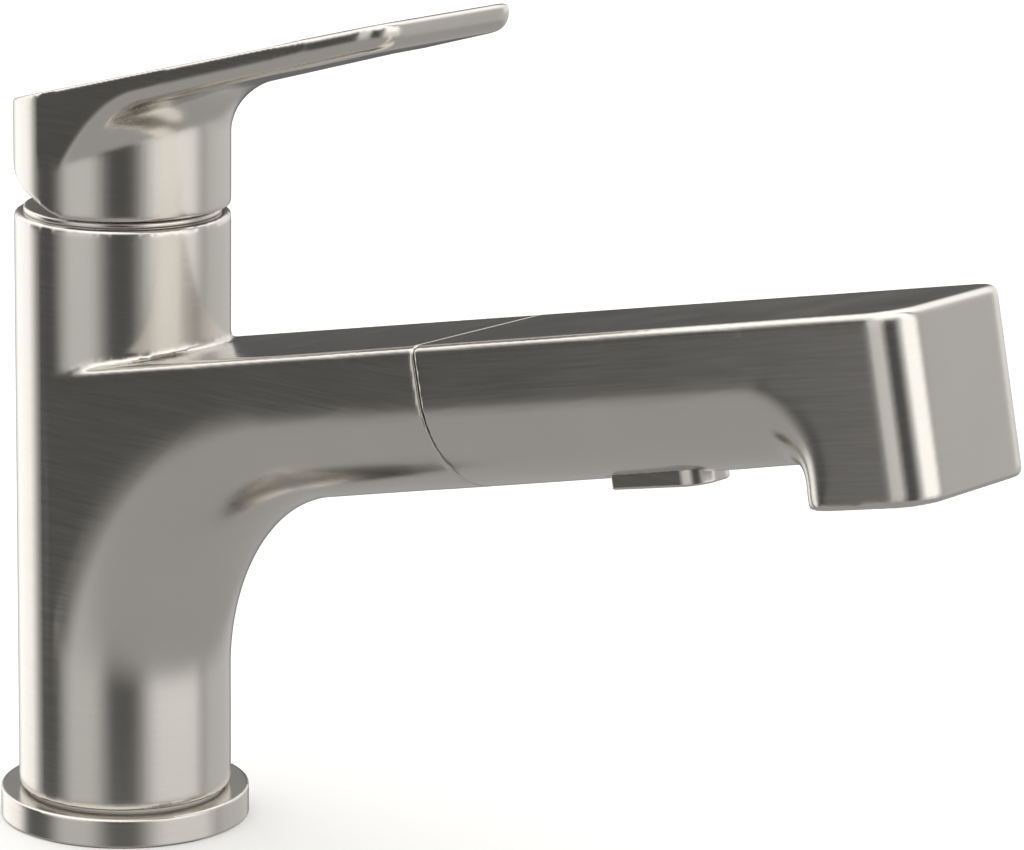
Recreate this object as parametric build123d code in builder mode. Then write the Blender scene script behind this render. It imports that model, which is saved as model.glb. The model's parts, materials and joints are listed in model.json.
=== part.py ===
"""Pull-out kitchen faucet: swivelling body and arm, single-lever cartridge valve, docked spray head.

Millimetres. The origin is on the body's axis at deck level, +Z is up and the arm points along +X.
A distance "along" runs up the sloping top face of the arm from the body's axis. A "depth" runs
square to that face, downwards.
"""

import os
from math import asin, cos, degrees, radians, sin, tan

from build123d import *

# Fits and edges
RUNNING = 0.05
SEAT_GAP = 0.05
LOOSE = 0.3
FINE_EDGE = 0.5
EDGE_R = 1.8
CUT_PAST = 1.0

# Body and foot
BODY_R = 22.5
BODY_TOP = 130.7
FLANGE_R = 26.35
FLANGE_H = 6.3
GLIDE_H = 0.5
BODY_FOOT_EDGE = 0.9

# Shank through the deck
SHANK_R = 16.0
SHANK_BORE_R = 13.8
SHANK_EDGE = 1.0
SHANK_BOTTOM = -52.0
SPIGOT_R = 17.0
SPIGOT_TOP = 36.0
BUSH_WALL = 2.2
BUSH_H = 6.0
BUSH_LIFTS = (2.0, 21.0)
STOP_HALF_TURN = 60.0
STOP_SCREW_Z = 20.2
STOP_SCREW_R = 2.5
STOP_TIP_R = 2.2
STOP_GROOVE_DEPTH = 2.0

# Under the deck
DECK_THICK = 29.0
DECK_SEAL_R = 24.1
DECK_SEAL_W = 3.8
DECK_SEAL_H = 1.5
GASKET_R = 27.0
GASKET_H = 3.0
WASHER_OVERHANG = 0.5
WASHER_H = 2.0
NUT_R = 26.0
NUT_H = 8.0
NUT_EDGE = 1.0
NUT_NOTCHES = 6
NUT_NOTCH_R = 3.5
JACK_COUNT = 2
JACK_RING_R = 21.5
JACK_R = 2.5
JACK_LENGTH = 16.0
JACK_HEAD_R = 4.2
JACK_HEAD_H = 3.5

# Arm
ARM_ANGLE = 11.78
ARM_TOP_Z = 99.7
ARM_TAPER = 0.01857
SIDE_DEPTH = 10.3
BEND_R = 71.0
TANGENT_INSET = 0.08
BEND_OVERLAP = 4.0
SEAM = 98.74
SEAM_GAP = 0.3
SEAM_EDGE = 0.3
ARM_WALL = 3.0
ARM_CAVITY_START = 34.0

# Room inside the body
FOOT_BORE_WALL = 3.9
CHAMBER_R = 16.5
BULKHEAD_BOTTOM = 70.0
CARTRIDGE_SEAT = 103.0
HOSE_R = 7.6
HOSE_OFFSET_X = 5.2
HOSE_RUN_IN = 12.0
HOSE_RUN_OUT = 4.0
HOSE_BEND_R = 26.0
HOSE_DEPTH = 17.0
PORT_R = 3.0
PORT_THREAD_R = 4.0
PORT_THREAD_LENGTH = 12.0
SIDE_PORT_X = -5.5
SIDE_PORT_Y = 8.1
MIXED_PORT_X = -9.8

# Cartridge
CARTRIDGE_R = 17.4
CARTRIDGE_FIT = 0.2
BASE_H = 4.5
PORT_SEAL_R = 4.4
PORT_SEAL_H = 1.2
PEG_R = 1.5
PEG_H = 2.0
PEG_X = 8.0
PEG_Y = 9.0
DISC_PORT_R = 2.2
DISC_PORT_PULL = 0.92
FIXED_DISC_R = 15.0
FIXED_DISC_H = 3.0
MOVING_DISC_R = 12.0
MOVING_DISC_H = 3.4
MOVING_DISC_X = -2.0
HOLLOW_X = -9.6
HOLLOW_HALF_X = 2.4
HOLLOW_HALF_Y = 7.5
CARRIER_H = 4.0
CARRIER_HALF_Y = 10.5
PIVOT_Z = 128.0
BALL_R = 2.2
BALL_DROP = 11.4
STEM_NECK_R = 1.3
STEM_X = 8.6
STEM_Y = 8.8
STEM_TOP = 152.0
STEM_FOOT_DROP = 5.0
PIN_R = 2.0
ROTOR_R = 10.4
ROTOR_FLANGE_R = 13.0
ROTOR_FLANGE_H = 2.5
ROTOR_CHEEK_X = 8.0
ROTOR_CHEEK_Y = 1.8
ROTOR_CHEEK_H = 3.2
ROTOR_TAB_H = 1.7
ROTOR_TAB_R = 14.8
ROTOR_TAB_HALF_TURN = 12.0
STOP_SPARE_TURN = 1.0
ROTOR_TOP = 131.2
ROTOR_SLOT_X = 14.8
TURN_HALF = 50.0
HOUSING_WALL = 2.2
HOUSING_SHELF = 3.8
HOUSING_COLLAR_R = 13.5
HOUSING_COLLAR_H = 4.0
NUT_RING_R = 18.7
NUT_RING_H = 4.6
NUT_RING_LEDGE = 0.2
CAP_RING_R = 20.6
CAP_RING_H = 1.1
CAP_SKIRT_H = 1.2

# Handle
HANDLE_BOTTOM = 132.3
HANDLE_EDGE = 0.7
LEVER_TOP_Z = 158.32
LEVER_ANGLE = 14.75
LEVER_UNDER_ANGLE = 16.0
LEVER_ROOT_THICK = 6.8
LEVER_END_X = 88.5
LEVER_ROOT_HALF = 22.35
LEVER_TIP_HALF = 21.4
LEVER_CORNER_R = 6.4
LEVER_FILLET_R = 11.0
LEVER_LOWER_EDGE = 3.6
LIFT_ANGLE = 21.0
LIFT_CUT_Z = 133.57
HANDLE_ROOM_R = 19.0
HANDLE_ROOM_TOP = 143.8
HANDLE_BOSS_R = 8.5
HANDLE_BOSS_BOTTOM = 137.5
SET_SCREW_R = 2.5
SET_SCREW_Z = 147.4
PLUG_R = 3.0
PLUG_H = 1.5

# Spray head
HEAD_END = 212.68
HEAD_DEPTH = 35.8
BLOCK_REAR = 184.0
BLOCK_CORNER_R = 7.3
DROP_R = 6.0
SHELL_WALL = 2.2
HEAD_BOTTOM_EDGE = 1.3
DROP_INSET = 0.08
DROP_FLAT = 0.3
DROP_SECTIONS = 5
CORE_DEPTH = 15.2
CORE_R = 11.2
CORE_OVERLAP = 2.0

# Dock between arm and head
DOCK_HALF_W = 12.5
DOCK_HALF_H = 9.5
DOCK_CORNER_R = 6.5
DOCK_FIT = 0.1
SLEEVE_LENGTH = 22.0
SLEEVE_RECESS = 1.2
TAIL_LENGTH = 20.0
DOCK_RING_W = 1.6
DOCK_RING_AT = 14.0
COLLAR_PLATE_H = 3.0
COLLAR_SCREW_Y = 14.9
COLLAR_BOSS_R = 3.8
COLLAR_BOSS_LENGTH = 10.0
COLLAR_SCREW_DEPTH = 7.2
COLLAR_SCREW_R = 1.5
COLLAR_SCREW_LENGTH = 8.0
COLLAR_SCREW_HEAD_R = 2.6
COLLAR_SCREW_HEAD_H = 1.6
COLLAR_SCREW_SOCKET_R = 1.2

# Hose connector and check valve
CONNECTOR_R = 7.5
CONNECTOR_BORE_R = 4.5
CONNECTOR_START = 66.0
CONNECTOR_SOCKET = 10.0
CONNECTOR_HEX_R = 9.5
CONNECTOR_HEX_H = 5.0
WASHER_T = 1.5
CHECK_VALVE_R = 6.0
CHECK_VALVE_LENGTH = 12.0
PASSAGE_R = 4.0

# Spray button and its plunger
BUTTON_START = 131.2
BUTTON_END = 153.2
BUTTON_HALF_W = 6.2
BUTTON_FRONT_R = 5.0
BUTTON_REAR_R = 0.8
BUTTON_FACE_DEPTH = 32.05
BUTTON_INNER_DEPTH = 28.6
BUTTON_END_GAP = 0.4
BUTTON_PIN_R = 0.75
BUTTON_PIN_AT = 133.6
BUTTON_PIN_DEPTH = 27.6
BUTTON_PIN_HALF = 8.0
BUTTON_PIN_ROOM = 2.0
PLUNGER_AT = 146.0
PLUNGER_R = 2.4
PLUNGER_TOP_DEPTH = 19.0
PLUNGER_RING_DEPTH = 22.0
PLUNGER_RING_H = 1.2
PLUNGER_GROOVE = 0.7

# Outlet
OUTLET_AT = 198.3
POCKET_START = 187.0
POCKET_DEPTH = 3.0
FACE_RECESS = 0.5
FACE_WALL = 1.6
FACE_H = 7.7
FACE_FLOOR = 2.1
MAT_H = 1.2
MAT_HOLE_R = 8.6
SPRAY_BORE_R = 1.8
SPRAY_BORE_Y = 11.0
AERATOR_R = 7.4
AERATOR_WALL = 1.6
AERATOR_BORE_R = 5.0
AERATOR_SEAL_H = 0.8
SCREEN_H = 0.8
SCREEN_RECESS = 0.6
SCREEN_PITCH = 2.4
SCREEN_HOLE = 1.7
NOZZLE_R = 1.0
NOZZLE_HOLE_R = 1.15
NOZZLE_BORE_R = 0.45
NOZZLE_STEP_ALONG = 6.2
NOZZLE_ROWS_Y = (10.2, 13.0)
NOZZLE_RECESS = 0.1
OUTLET_BOX_TOP = 6.0

os.makedirs("parts", exist_ok=True)


def keep(builder, name):
    """Labels a finished piece and writes it to its own file."""
    builder.part.label = name
    export_step(builder.part, f"parts/{name}.step")


def ring(outer, inner, bottom, height):
    """Flat ring about the body's axis."""
    with BuildPart(mode=Mode.PRIVATE) as piece:
        with BuildSketch(Plane.XY.offset(bottom)):
            Circle(outer)
            Circle(inner, mode=Mode.SUBTRACT)
        extrude(amount=height)
    return piece.part


# The sloping arm frame: local x is along, local y is across, local z is minus depth
slope = radians(ARM_ANGLE)
arm_dir = Vector(cos(slope), 0, sin(slope))
arm_up = Vector(-sin(slope), 0, cos(slope))
arm_plane = Plane(origin=(0, 0, ARM_TOP_Z), x_dir=arm_dir, z_dir=arm_up)


def arm_point(along, depth, across=0):
    return arm_plane.from_local_coords((along, across, -depth))


def station(along):
    """Section plane square to the arm, with local x across and local y minus depth."""
    return Plane(origin=arm_point(along, 0), x_dir=(0, 1, 0), z_dir=arm_dir)


def level(depth, along=0):
    """Plane parallel to the arm's top face, facing up, with local x along and local y across."""
    return Plane(origin=arm_point(along, depth), x_dir=arm_dir, z_dir=arm_up)


def half(along):
    """Half the arm's width, which tapers towards the tip."""
    return BODY_R - ARM_TAPER * along


def arm_section(along, inset=0.0, straight_to=0.0):
    """U-shaped section: flat top with rounded edges, flat sides, half-round underside.

    With straight_to the sides run straight down to that depth instead.
    """
    w = half(along) - inset
    r = EDGE_R
    with BuildSketch(station(along)) as face:
        with BuildLine():
            Line((w, -inset - r), (w, -max(SIDE_DEPTH, straight_to)))
            if straight_to:
                Line((w, -straight_to), (-w, -straight_to))
            else:
                ThreePointArc((w, -SIDE_DEPTH), (0, -SIDE_DEPTH - w), (-w, -SIDE_DEPTH))
            Line((-w, -max(SIDE_DEPTH, straight_to)), (-w, -inset - r))
            CenterArc((-w + r, -inset - r), r, 90, 90)
            Line((-w + r, -inset), (w - r, -inset))
            CenterArc((w - r, -inset - r), r, 0, 90)
        make_face()
    return face.sketch


def sharp_section(along):
    """The same section with sharp top edges."""
    w = half(along)
    with BuildSketch(station(along)) as face:
        with BuildLine():
            Polyline((w, -SIDE_DEPTH), (w, 0), (-w, 0), (-w, -SIDE_DEPTH))
            ThreePointArc((w, -SIDE_DEPTH), (0, -SIDE_DEPTH - w), (-w, -SIDE_DEPTH))
        make_face()
    return face.sketch


# Base: flange, shank, seals and the clamp under the deck
spigot_foot = FLANGE_H
body_bottom = FLANGE_H + GLIDE_H
foot_bore_r = BODY_R - FOOT_BORE_WALL
bush_inner = foot_bore_r - RUNNING - BUSH_WALL
gasket_top = -DECK_THICK
washer_top = gasket_top - GASKET_H
nut_top = washer_top - WASHER_H

with BuildPart() as base_flange:
    add(ring(FLANGE_R, SHANK_R + SEAT_GAP, 0, FLANGE_H))
    fillet(base_flange.edges().group_by(Axis.Z)[-1].sort_by(SortBy.RADIUS)[-1], FINE_EDGE)
    chamfer(base_flange.edges().group_by(Axis.Z)[0].sort_by(SortBy.RADIUS)[-1], LOOSE)
    with BuildSketch(Plane.XY):
        Circle(DECK_SEAL_R + SEAT_GAP)
        Circle(DECK_SEAL_R - DECK_SEAL_W - SEAT_GAP, mode=Mode.SUBTRACT)
    extrude(amount=DECK_SEAL_H, mode=Mode.SUBTRACT)
keep(base_flange, "base_flange")

with BuildPart() as deck_seal:
    add(ring(DECK_SEAL_R, DECK_SEAL_R - DECK_SEAL_W, 0, DECK_SEAL_H))
keep(deck_seal, "deck_seal")

with BuildPart() as mounting_shank:
    with BuildSketch(Plane.XY.offset(SHANK_BOTTOM)):
        Circle(SHANK_R)
    extrude(amount=spigot_foot - SHANK_BOTTOM)
    chamfer(mounting_shank.edges().group_by(Axis.Z)[0], SHANK_EDGE)
    with BuildSketch(Plane.XY.offset(spigot_foot)):
        Circle(SPIGOT_R)
    extrude(amount=SPIGOT_TOP - spigot_foot)
    chamfer(mounting_shank.edges().group_by(Axis.Z)[-1], FINE_EDGE)
    with BuildSketch(Plane.XY.offset(SHANK_BOTTOM)):
        Circle(SHANK_BORE_R)
    extrude(amount=SPIGOT_TOP - SHANK_BOTTOM, mode=Mode.SUBTRACT)
    for lift in BUSH_LIFTS:
        with BuildSketch(Plane.XY.offset(spigot_foot + lift)):
            Circle(SPIGOT_R + CUT_PAST)
            Circle(bush_inner - SEAT_GAP, mode=Mode.SUBTRACT)
        extrude(amount=BUSH_H, mode=Mode.SUBTRACT)
    # Slot that lets the body swivel and stops it at both ends
    tip_turn = degrees(asin((STOP_TIP_R + LOOSE) / (SPIGOT_R - STOP_GROOVE_DEPTH)))
    slot_turn = 2 * (STOP_HALF_TURN + tip_turn)
    stop_plane = Plane.XZ.rotated((0, 0, 180 - slot_turn / 2))
    with BuildSketch(stop_plane):
        with Locations((SPIGOT_R, STOP_SCREW_Z)):
            Rectangle(2 * STOP_GROOVE_DEPTH, 2 * (STOP_TIP_R + LOOSE))
    revolve(axis=Axis.Z, revolution_arc=slot_turn, mode=Mode.SUBTRACT)
keep(mounting_shank, "mounting_shank")

for name, lift in zip(("lower_swivel_bush", "upper_swivel_bush"), BUSH_LIFTS):
    with BuildPart() as bush:
        add(ring(bush_inner + BUSH_WALL, bush_inner, spigot_foot + lift + SEAT_GAP, BUSH_H - 2 * SEAT_GAP))
    keep(bush, name)

with BuildPart() as glide_ring:
    add(ring(BODY_R - FINE_EDGE - BODY_FOOT_EDGE, SPIGOT_R + SEAT_GAP, FLANGE_H, GLIDE_H - SEAT_GAP))
keep(glide_ring, "glide_ring")

with BuildPart() as under_deck_gasket:
    add(ring(GASKET_R, SHANK_R + LOOSE, gasket_top - GASKET_H, GASKET_H))
keep(under_deck_gasket, "under_deck_gasket")

with BuildPart() as clamp_washer:
    add(ring(GASKET_R + WASHER_OVERHANG, SHANK_R + LOOSE, washer_top - WASHER_H, WASHER_H))
keep(clamp_washer, "clamp_washer")

with BuildPart() as mounting_nut:
    add(ring(NUT_R, SHANK_R + SEAT_GAP, nut_top - NUT_H - LOOSE, NUT_H))
    chamfer(mounting_nut.edges().group_by(Axis.Z)[0].sort_by(SortBy.RADIUS)[-1], NUT_EDGE)
    with BuildSketch(Plane.XY.offset(nut_top)):
        with PolarLocations(NUT_R, NUT_NOTCHES, start_angle=180 / NUT_NOTCHES):
            Circle(NUT_NOTCH_R)
        with PolarLocations(JACK_RING_R, JACK_COUNT):
            Circle(JACK_R + SEAT_GAP)
    extrude(amount=-2 * NUT_H, mode=Mode.SUBTRACT)
keep(mounting_nut, "mounting_nut")

with BuildPart() as jack_screws:
    with BuildSketch(Plane.XY.offset(nut_top - JACK_LENGTH)):
        with PolarLocations(JACK_RING_R, JACK_COUNT):
            Circle(JACK_R)
    extrude(amount=JACK_LENGTH)
    with BuildSketch(Plane.XY.offset(nut_top - JACK_LENGTH - JACK_HEAD_H)):
        with PolarLocations(JACK_RING_R, JACK_COUNT):
            RegularPolygon(JACK_HEAD_R, 6)
    extrude(amount=JACK_HEAD_H)
keep(jack_screws, "jack_screws")

# Levels of the cartridge, from its seat up
base_top = CARTRIDGE_SEAT + BASE_H
fixed_disc_top = base_top + SEAT_GAP + FIXED_DISC_H
moving_disc_top = fixed_disc_top + SEAT_GAP + MOVING_DISC_H
carrier_top = moving_disc_top + SEAT_GAP + CARRIER_H
rotor_bottom = carrier_top + LOOSE
rotor_shoulder = rotor_bottom + ROTOR_FLANGE_H
shelf_bottom = rotor_shoulder + RUNNING
shelf_top = shelf_bottom + HOUSING_SHELF
housing_bore_r = CARTRIDGE_R - HOUSING_WALL

# Body casting: the round tube bends into the arm, and a flat-sided slab fills the outer corner
bend_turn = 90 - ARM_ANGLE
axis_z = ARM_TOP_Z - SIDE_DEPTH / cos(slope)
bend_z = axis_z - BEND_R * (1 - sin(slope)) / cos(slope)


def on_bend(turn):
    """Point of the bend's centre line in the XZ plane, turn degrees above its foot."""
    return (BEND_R * (1 - cos(radians(turn))), bend_z + BEND_R * sin(radians(turn)))


def bend_section(turn):
    """Round section of the bend, which tapers like the arm."""
    x, z = on_bend(turn)
    tilt = radians(turn)
    with BuildSketch(Plane(origin=(x, 0, z), x_dir=(0, 1, 0), z_dir=(sin(tilt), 0, cos(tilt)))) as face:
        Circle(BODY_R - TANGENT_INSET - ARM_TAPER / cos(slope) * x)
    return face.sketch


bend_end = arm_plane.to_local_coords(Vector(on_bend(bend_turn)[0], 0, on_bend(bend_turn)[1])).X
BEND_SECTIONS = 6
mouth = SEAM - SEAM_GAP / 2

with BuildPart() as tube:
    with BuildSketch(Plane.XY.offset(body_bottom)):
        Circle(BODY_R)
    extrude(amount=BODY_TOP - body_bottom)
    fillet(tube.edges().group_by(Axis.Z)[0], BODY_FOOT_EDGE)
    fillet(tube.edges().group_by(Axis.Z)[-1], FINE_EDGE)

# Slab between the bend's centre line and the arm's top face
with BuildPart() as corner_slab:
    with BuildSketch(Plane.XZ):
        with BuildLine():
            over = arm_point(bend_end + BEND_OVERLAP, -2 * EDGE_R)
            under = arm_point(bend_end + BEND_OVERLAP, SIDE_DEPTH)
            Polyline((0, bend_z), (0, over.Z), (over.X, over.Z), (under.X, under.Z), on_bend(bend_turn))
            ThreePointArc(on_bend(bend_turn), on_bend(bend_turn / 2), (0, bend_z))
        make_face()
    extrude(amount=2 * BODY_R, both=True)
    loft(
        [arm_section(-BODY_R, straight_to=BODY_TOP), arm_section(SEAM, straight_to=BODY_TOP)],
        ruled=True,
        mode=Mode.INTERSECT,
    )
    flank_start = BODY_R + TANGENT_INSET
    flank_end = half(SEAM / cos(slope)) + TANGENT_INSET
    with BuildSketch(Plane.XY):
        Polygon((0, flank_start), (0, -flank_start), (SEAM, -flank_end), (SEAM, flank_end), align=None)
    extrude(amount=BODY_TOP, mode=Mode.INTERSECT)

bend_round = loft([bend_section(bend_turn * i / BEND_SECTIONS) for i in range(BEND_SECTIONS + 1)])
bend_tube = split(bend_round, bisect_by=level(SIDE_DEPTH / 2), keep=Keep.BOTTOM)
arm_bar = loft([arm_section(bend_end), arm_section(mouth)], ruled=True)
casting_outside = tube.part + bend_tube + corner_slab.part + arm_bar

with BuildPart() as body_casting:
    add(casting_outside)
    chamfer(body_casting.faces().sort_by(Axis(arm_point(0, 0), arm_dir))[-1].edges(), SEAM_EDGE)
    # Room for the spigot, the hoses and the cartridge
    with BuildSketch(Plane.XY.offset(body_bottom)):
        Circle(foot_bore_r)
    extrude(amount=SPIGOT_TOP + LOOSE * 2 - body_bottom, mode=Mode.SUBTRACT)
    with BuildSketch(Plane.XY.offset(SPIGOT_TOP)):
        Circle(CHAMBER_R)
    extrude(amount=BULKHEAD_BOTTOM - SPIGOT_TOP, mode=Mode.SUBTRACT)
    with BuildSketch(Plane.XY.offset(CARTRIDGE_SEAT)):
        Circle(CARTRIDGE_R + CARTRIDGE_FIT)
    extrude(amount=BODY_TOP - CARTRIDGE_SEAT, mode=Mode.SUBTRACT)
    nut_ring_bottom = shelf_top - NUT_RING_LEDGE
    with BuildSketch(Plane.XY.offset(nut_ring_bottom)):
        Circle(NUT_RING_R + SEAT_GAP)
    extrude(amount=BODY_TOP - nut_ring_bottom, mode=Mode.SUBTRACT)
    # Ports for the hot, cold and mixed water, threaded from below
    port_spots = [(SIDE_PORT_X, SIDE_PORT_Y), (SIDE_PORT_X, -SIDE_PORT_Y), (MIXED_PORT_X, 0)]
    with BuildSketch(Plane.XY.offset(BULKHEAD_BOTTOM)):
        with Locations(*port_spots):
            Circle(PORT_THREAD_R)
    extrude(amount=PORT_THREAD_LENGTH, mode=Mode.SUBTRACT)
    with BuildSketch(Plane.XY.offset(BULKHEAD_BOTTOM)):
        with Locations(*port_spots):
            Circle(PORT_R)
    extrude(amount=CARTRIDGE_SEAT - BULKHEAD_BOTTOM, mode=Mode.SUBTRACT)
    with BuildSketch(Plane.XY.offset(CARTRIDGE_SEAT - PEG_H - LOOSE)):
        with Locations((PEG_X, PEG_Y), (PEG_X, -PEG_Y)):
            Circle(PEG_R + SEAT_GAP)
    extrude(amount=PEG_H + LOOSE, mode=Mode.SUBTRACT)
    # Hose passage round the bend and along the arm
    passage_end = arm_point(ARM_CAVITY_START + HOSE_RUN_OUT, HOSE_DEPTH)
    hose_end_x = HOSE_OFFSET_X + HOSE_BEND_R * (1 - sin(slope))
    hose_end_z = ARM_TOP_Z + hose_end_x * tan(slope) - HOSE_DEPTH / cos(slope)
    hose_start_z = hose_end_z - HOSE_BEND_R * cos(slope)
    with BuildLine(Plane.XZ) as hose_path:
        Line((HOSE_OFFSET_X, BULKHEAD_BOTTOM - HOSE_RUN_IN), (HOSE_OFFSET_X, hose_start_z))
        TangentArc((HOSE_OFFSET_X, hose_start_z), (hose_end_x, hose_end_z), tangent=(0, 1))
        Line((hose_end_x, hose_end_z), (passage_end.X, passage_end.Z))
    with BuildSketch(Plane.XY.offset(BULKHEAD_BOTTOM - HOSE_RUN_IN)):
        with Locations((HOSE_OFFSET_X, 0)):
            Circle(HOSE_R)
    sweep(path=hose_path.wire(), mode=Mode.SUBTRACT)
    loft(
        [arm_section(ARM_CAVITY_START, inset=ARM_WALL), arm_section(mouth + CUT_PAST, inset=ARM_WALL)],
        ruled=True,
        mode=Mode.SUBTRACT,
    )
    # Stop screw hole in the rear wall
    with BuildSketch(Plane(origin=(0, 0, STOP_SCREW_Z), x_dir=(0, 1, 0), z_dir=(-1, 0, 0))):
        Circle(STOP_SCREW_R + SEAT_GAP)
    extrude(amount=BODY_R + CUT_PAST, mode=Mode.SUBTRACT)
keep(body_casting, "body_casting")

with BuildPart() as swivel_stop_screw:
    with BuildSketch(Plane(origin=(-BODY_R + LOOSE, 0, STOP_SCREW_Z), x_dir=(0, 1, 0), z_dir=(1, 0, 0))):
        Circle(STOP_SCREW_R)
    extrude(amount=FOOT_BORE_WALL - LOOSE)
    with BuildSketch(Plane(origin=(-BODY_R + LOOSE, 0, STOP_SCREW_Z), x_dir=(0, 1, 0), z_dir=(1, 0, 0))):
        Circle(STOP_TIP_R)
    extrude(amount=BODY_R - SPIGOT_R + STOP_GROOVE_DEPTH - 2 * LOOSE)
    with BuildSketch(Plane(origin=(-BODY_R + LOOSE, 0, STOP_SCREW_Z), x_dir=(0, 1, 0), z_dir=(1, 0, 0))):
        RegularPolygon(STOP_SCREW_R / 2, 6, major_radius=False)
    extrude(amount=STOP_TIP_R, mode=Mode.SUBTRACT)
keep(swivel_stop_screw, "swivel_stop_screw")

# Cartridge: base and seals, ceramic discs, housing, retaining nut and cover ring
with BuildPart() as cartridge_base:
    with BuildSketch(Plane.XY.offset(CARTRIDGE_SEAT)):
        Circle(CARTRIDGE_R)
        with Locations(*port_spots):
            Circle(PORT_R, mode=Mode.SUBTRACT)
    extrude(amount=BASE_H)
    with BuildSketch(Plane.XY.offset(CARTRIDGE_SEAT)):
        with Locations(*port_spots):
            Circle(PORT_SEAL_R + SEAT_GAP)
    extrude(amount=PORT_SEAL_H, mode=Mode.SUBTRACT)
    with BuildSketch(Plane.XY.offset(CARTRIDGE_SEAT)):
        with Locations((PEG_X, PEG_Y), (PEG_X, -PEG_Y)):
            Circle(PEG_R)
    extrude(amount=-PEG_H)
keep(cartridge_base, "cartridge_base")

with BuildPart() as cartridge_seals:
    with BuildSketch(Plane.XY.offset(CARTRIDGE_SEAT)):
        with Locations(*port_spots):
            Circle(PORT_SEAL_R)
            Circle(PORT_R, mode=Mode.SUBTRACT)
    extrude(amount=PORT_SEAL_H)
keep(cartridge_seals, "cartridge_seals")

with BuildPart() as fixed_disc:
    with BuildSketch(Plane.XY.offset(base_top + SEAT_GAP)):
        Circle(FIXED_DISC_R)
        with Locations(*[(DISC_PORT_PULL * x, DISC_PORT_PULL * y) for x, y in port_spots]):
            Circle(DISC_PORT_R, mode=Mode.SUBTRACT)
    extrude(amount=FIXED_DISC_H)
keep(fixed_disc, "fixed_disc")

with BuildPart() as moving_disc:
    with BuildSketch(Plane.XY.offset(fixed_disc_top + SEAT_GAP)):
        with Locations((MOVING_DISC_X, 0)):
            Circle(MOVING_DISC_R)
    extrude(amount=MOVING_DISC_H)
    # Mixing hollow in the sliding face
    with BuildSketch(Plane.XY.offset(fixed_disc_top + SEAT_GAP)):
        with Locations((HOLLOW_X, 0)):
            Ellipse(HOLLOW_HALF_X, HOLLOW_HALF_Y)
    extrude(amount=MOVING_DISC_H / 2, mode=Mode.SUBTRACT)
keep(moving_disc, "moving_disc")

with BuildPart() as disc_carrier:
    with BuildSketch(Plane.XY.offset(moving_disc_top + SEAT_GAP)):
        with Locations((MOVING_DISC_X, 0)):
            Circle(MOVING_DISC_R)
            Rectangle(2 * MOVING_DISC_R, 2 * CARRIER_HALF_Y, mode=Mode.INTERSECT)
        Circle(BALL_R + 2 * RUNNING, mode=Mode.SUBTRACT)
    extrude(amount=CARRIER_H)
    upper_rounds = disc_carrier.edges().group_by(Axis.Z)[-1].filter_by(GeomType.CIRCLE)
    chamfer(upper_rounds.sort_by(SortBy.RADIUS)[0], LOOSE)
keep(disc_carrier, "disc_carrier")

with BuildPart() as cartridge_rotor:
    for side in (1, -1):
        with BuildSketch(Plane.XY.offset(rotor_bottom - ROTOR_CHEEK_H)):
            with Locations((0, side * (CARRIER_HALF_Y + 2 * RUNNING + ROTOR_CHEEK_Y / 2))):
                Rectangle(2 * ROTOR_CHEEK_X, ROTOR_CHEEK_Y)
        extrude(amount=ROTOR_CHEEK_H)
    with BuildSketch(Plane.XY.offset(rotor_bottom)):
        Circle(ROTOR_FLANGE_R)
    extrude(amount=ROTOR_FLANGE_H)
    with BuildSketch(Plane.XY.offset(rotor_shoulder - ROTOR_TAB_H)):
        with BuildLine():
            CenterArc((0, 0), ROTOR_TAB_R, 180 - ROTOR_TAB_HALF_TURN, 2 * ROTOR_TAB_HALF_TURN)
            CenterArc((0, 0), ROTOR_R, 180 - ROTOR_TAB_HALF_TURN, 2 * ROTOR_TAB_HALF_TURN)
            for end_turn in (180 - ROTOR_TAB_HALF_TURN, 180 + ROTOR_TAB_HALF_TURN):
                turn_cos = cos(radians(end_turn))
                turn_sin = sin(radians(end_turn))
                Line(
                    (ROTOR_R * turn_cos, ROTOR_R * turn_sin),
                    (ROTOR_TAB_R * turn_cos, ROTOR_TAB_R * turn_sin),
                )
        make_face()
    extrude(amount=ROTOR_TAB_H)
    with BuildSketch(Plane.XY.offset(rotor_shoulder)):
        Circle(ROTOR_R)
    extrude(amount=ROTOR_TOP - rotor_shoulder)
    with BuildSketch(Plane.XY.offset(rotor_bottom)):
        Rectangle(ROTOR_SLOT_X, STEM_Y + 4 * RUNNING)
    extrude(amount=ROTOR_TOP - rotor_bottom, mode=Mode.SUBTRACT)
    with BuildSketch(Plane.XZ):
        with Locations((0, PIVOT_Z)):
            Circle(PIN_R + SEAT_GAP)
    extrude(amount=ROTOR_R, both=True, mode=Mode.SUBTRACT)
keep(cartridge_rotor, "cartridge_rotor")

with BuildPart() as stem_pin:
    with BuildSketch(Plane.XZ):
        with Locations((0, PIVOT_Z)):
            Circle(PIN_R)
    extrude(amount=ROTOR_R - FINE_EDGE, both=True)
keep(stem_pin, "stem_pin")

with BuildPart() as cartridge_stem:
    with BuildSketch(Plane.XY.offset(PIVOT_Z - STEM_FOOT_DROP)):
        RectangleRounded(STEM_X, STEM_Y, FINE_EDGE)
    extrude(amount=STEM_TOP - PIVOT_Z + STEM_FOOT_DROP)
    with BuildSketch(Plane.XY.offset(PIVOT_Z - BALL_DROP)):
        Circle(STEM_NECK_R)
    extrude(amount=BALL_DROP - STEM_FOOT_DROP)
    with Locations((0, 0, PIVOT_Z - BALL_DROP)):
        Sphere(BALL_R)
    with BuildSketch(Plane.XZ):
        with Locations((0, PIVOT_Z)):
            Circle(PIN_R + RUNNING)
    extrude(amount=STEM_Y, both=True, mode=Mode.SUBTRACT)
keep(cartridge_stem, "cartridge_stem")

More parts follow.
